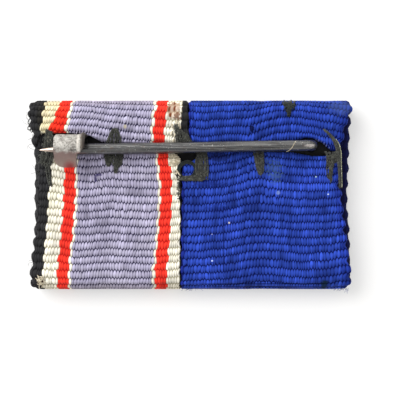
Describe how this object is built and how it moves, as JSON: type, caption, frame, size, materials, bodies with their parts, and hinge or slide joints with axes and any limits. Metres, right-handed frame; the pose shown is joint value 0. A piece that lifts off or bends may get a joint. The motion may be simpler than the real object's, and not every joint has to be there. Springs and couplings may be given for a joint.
{
  "type": "ribbon bar",
  "caption": "Flat bar of two grosgrain ribbons wrapped round a metal plate, with a swinging wire pin and a sheet catch along the sewn seam on its back.",
  "frame": {"origin": "middle of the bar on the surface that it lies on, face down", "axes": "+X along the bar towards the pin's elbow, +Y across it towards the seam's side, +Z out of the back, where the pin is"},
  "size_m": [0.031, 0.0182, 0.0059],
  "materials": {
    "plate_steel": "tinned and tarnished, scratched",
    "pin_steel": "dark drawn wire with long scratches",
    "striped_cloth": "ribbed silk weave in black, white, red and lavender stripes",
    "blue_cloth": "ribbed silk weave",
    "thread": "twisted sewing thread"
  },
  "bodies": {
    "bar": {"plate_and_catch": "plate_steel", "striped_ribbon": "striped_cloth", "blue_ribbon": "blue_cloth"},
    "pin": {"pin": "pin_steel"}
  },
  "joints": [
    {"name": "pin_swing", "type": "hinge", "parent": "bar", "child": "pin", "pos_m": [0.0116, 0.00469, 0.0015], "axis": [0, 0, 1], "range_deg": [0, 25]}
  ]
}
